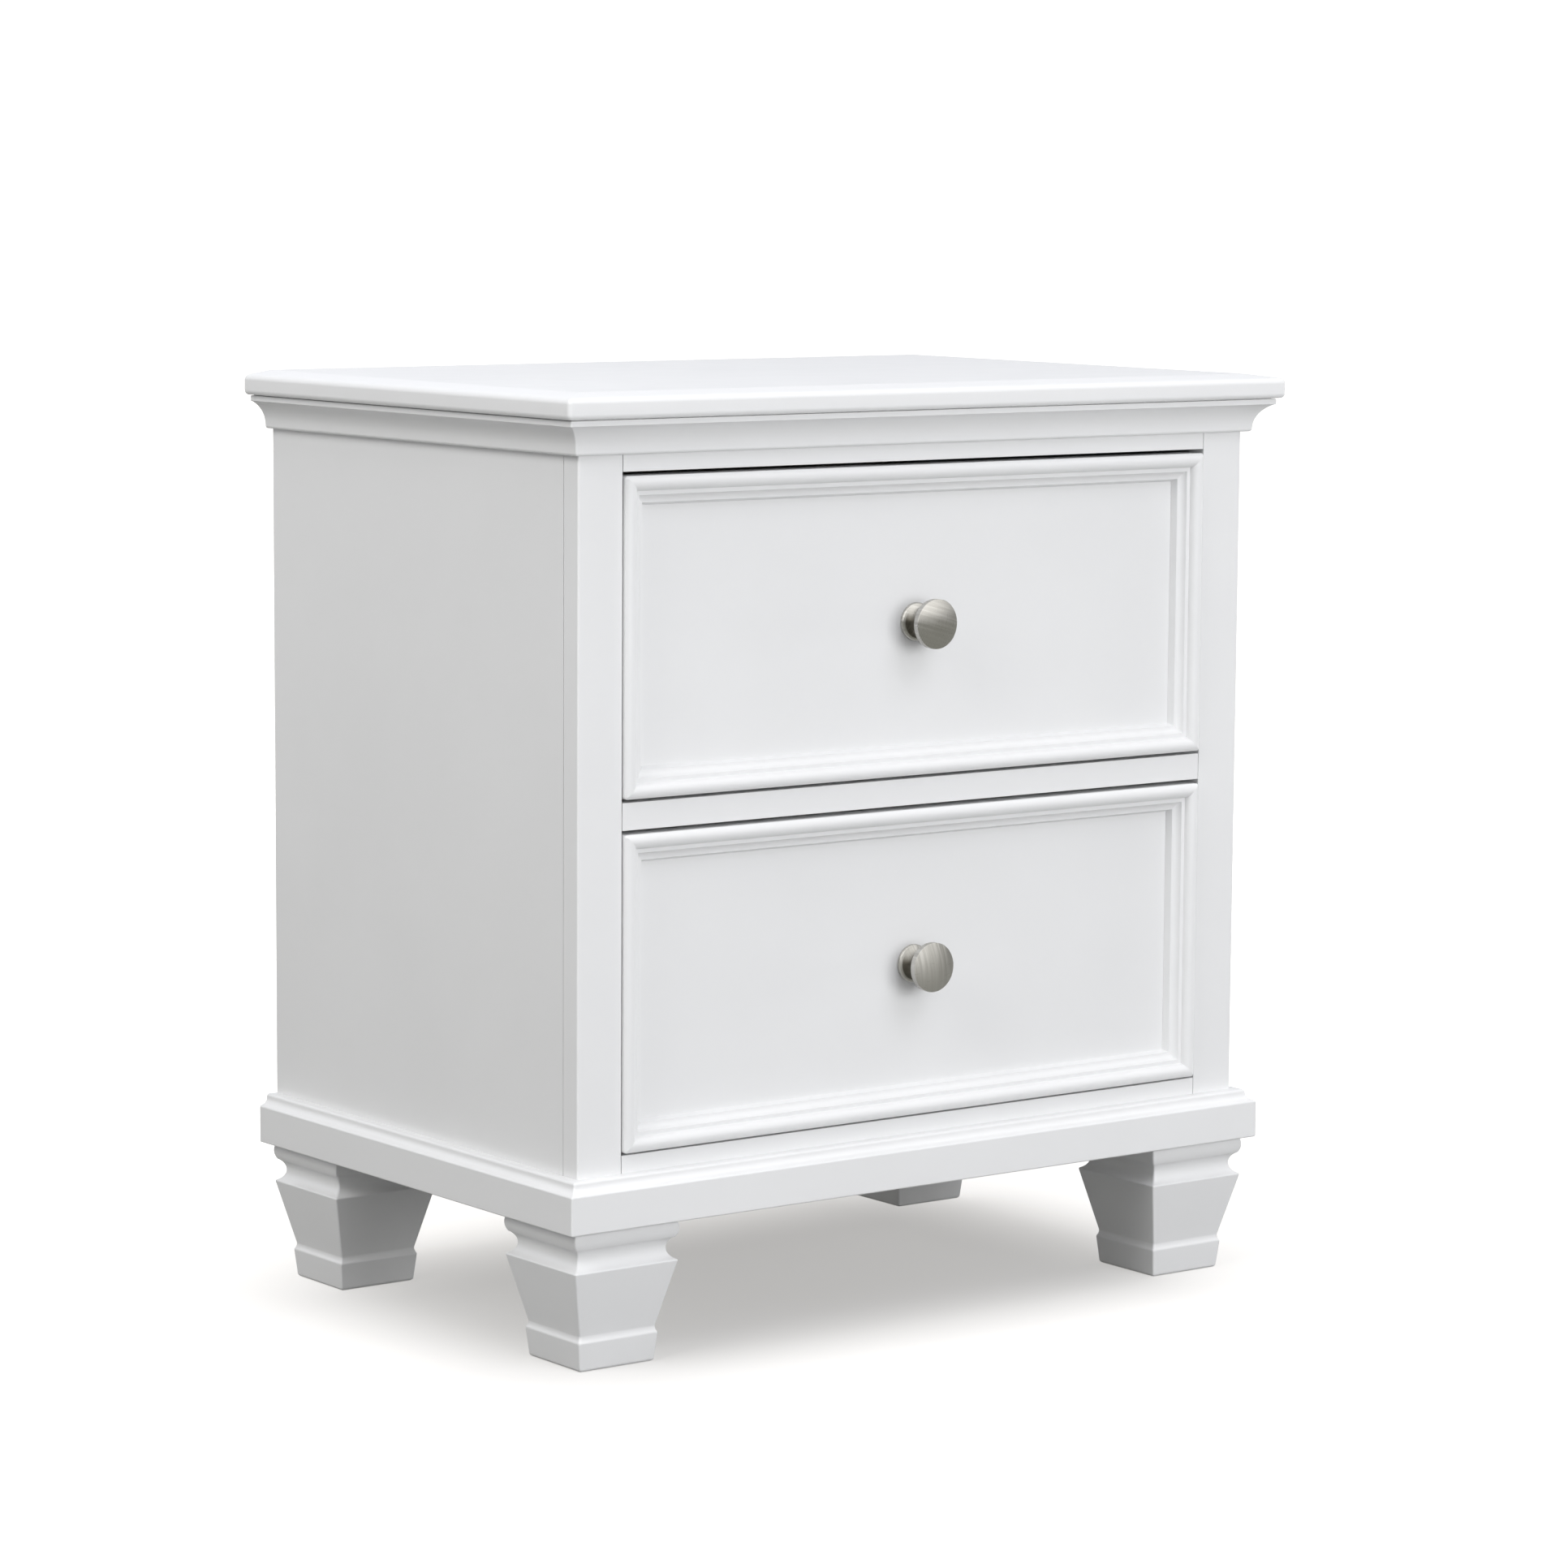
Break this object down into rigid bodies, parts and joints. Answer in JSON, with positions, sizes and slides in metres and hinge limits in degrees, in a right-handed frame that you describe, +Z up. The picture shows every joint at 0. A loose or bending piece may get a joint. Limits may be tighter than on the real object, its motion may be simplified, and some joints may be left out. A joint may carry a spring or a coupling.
{
  "type": "nightstand",
  "caption": "White painted nightstand with inset drawers on full-extension slides, round metal knobs, crown and base mouldings and tapered block feet.",
  "frame": {"origin": "on the floor, under the centre of the nightstand's bounding box", "axes": "+Z up, +X to the right seen from the front, -Y out of the front, the way the drawers open"},
  "size_m": [0.711, 0.464, 0.7464],
  "materials": {
    "white_paint": "satin white lacquer over wood",
    "drawer_wood": "clear sealed, matt",
    "drawer_ply": "clear sealed plywood",
    "frame_wood": "raw, sawn and planed",
    "back_board": "white faced board",
    "slide_steel": "zinc plated",
    "screw_steel": "zinc plated",
    "brushed_nickel": "brushed nickel"
  },
  "bodies": {
    "cabinet": {"top_panel": "white_paint", "crown_front": "white_paint", "crown_left": "white_paint", "crown_right": "white_paint", "stile_left": "white_paint", "stile_right": "white_paint", "rail_top": "white_paint", "rail_middle": "white_paint", "rail_bottom": "white_paint", "side_panel_left": "white_paint", "side_panel_right": "white_paint", "back_panel": "back_board", "bottom_panel": "back_board", "base_front": "white_paint", "base_left": "white_paint", "base_right": "white_paint", "base_back": "frame_wood", "foot_front_left": "white_paint", "foot_front_right": "white_paint", "foot_back_left": "white_paint", "foot_back_right": "white_paint", "corner_blocks": "frame_wood", "foot_bolts": "screw_steel", "top_stretcher_front": "frame_wood", "top_stretcher_back": "frame_wood", "slide_packers": "frame_wood", "slide_cabinet_rails": "slide_steel", "top_screws": "screw_steel", "back_panel_screws": "screw_steel", "slide_screws": "screw_steel"},
    "lower_drawer": {"lower_front_panel": "white_paint", "lower_front_moulding_top": "white_paint", "lower_front_moulding_bottom": "white_paint", "lower_front_moulding_left": "white_paint", "lower_front_moulding_right": "white_paint", "lower_box_front": "drawer_wood", "lower_box_left": "drawer_wood", "lower_box_right": "drawer_wood", "lower_box_back": "drawer_wood", "lower_box_bottom": "drawer_ply", "lower_slide_drawer_rails": "slide_steel", "lower_drawer_screws": "screw_steel", "lower_knob": "brushed_nickel", "lower_knob_bolt": "screw_steel"},
    "lower_slide": {"lower_slide_middles": "slide_steel"},
    "upper_drawer": {"upper_front_panel": "white_paint", "upper_front_moulding_top": "white_paint", "upper_front_moulding_bottom": "white_paint", "upper_front_moulding_left": "white_paint", "upper_front_moulding_right": "white_paint", "upper_box_front": "drawer_wood", "upper_box_left": "drawer_wood", "upper_box_right": "drawer_wood", "upper_box_back": "drawer_wood", "upper_box_bottom": "drawer_ply", "upper_slide_drawer_rails": "slide_steel", "upper_drawer_screws": "screw_steel", "upper_knob": "brushed_nickel", "upper_knob_bolt": "screw_steel"},
    "upper_slide": {"upper_slide_middles": "slide_steel"}
  },
  "joints": [
    {"name": "lower_drawer_slide", "type": "slide", "parent": "cabinet", "child": "lower_drawer", "axis": [0, -1, 0], "range_m": [0, 0.35]},
    {"name": "lower_slide_middle_travel", "type": "slide", "parent": "cabinet", "child": "lower_slide", "axis": [0, -1, 0], "range_m": [0, 0.175]},
    {"name": "upper_drawer_slide", "type": "slide", "parent": "cabinet", "child": "upper_drawer", "axis": [0, -1, 0], "range_m": [0, 0.35]},
    {"name": "upper_slide_middle_travel", "type": "slide", "parent": "cabinet", "child": "upper_slide", "axis": [0, -1, 0], "range_m": [0, 0.175]}
  ],
  "couplings": [
    {"joint": "lower_slide_middle_travel", "follows": "lower_drawer_slide", "ratio": 0.5},
    {"joint": "upper_slide_middle_travel", "follows": "upper_drawer_slide", "ratio": 0.5}
  ]
}
